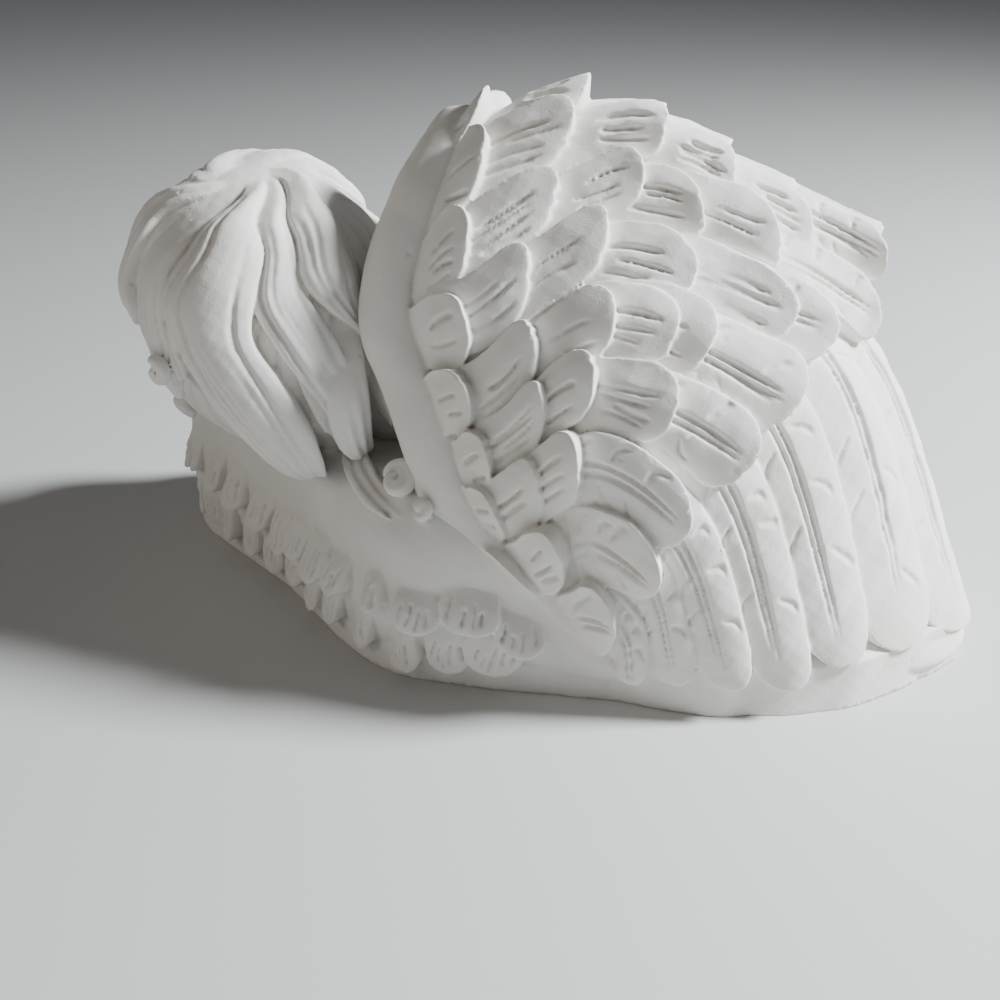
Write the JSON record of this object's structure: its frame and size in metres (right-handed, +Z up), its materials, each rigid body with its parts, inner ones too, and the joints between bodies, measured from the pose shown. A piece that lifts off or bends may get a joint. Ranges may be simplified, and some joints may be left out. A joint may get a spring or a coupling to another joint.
{
  "type": "sleeping angel statue",
  "caption": "Cast plaster statue of a curled-up cherub asleep under one feathered wing, its curly head pillowed on the other, on a low flat plinth.",
  "frame": {"origin": "centre of the outer size seen from above, on the flat underside that the statue stands on", "axes": "+X along the length from the head to the wing tip, +Y to the side that the face looks to, +Z up"},
  "size_m": [0.2798, 0.1478, 0.168],
  "materials": {
    "white_plaster": "unpainted white cast plaster, matte and slightly grainy"
  },
  "bodies": {
    "root": {"sleeping_angel": "white_plaster"}
  },
  "joints": []
}
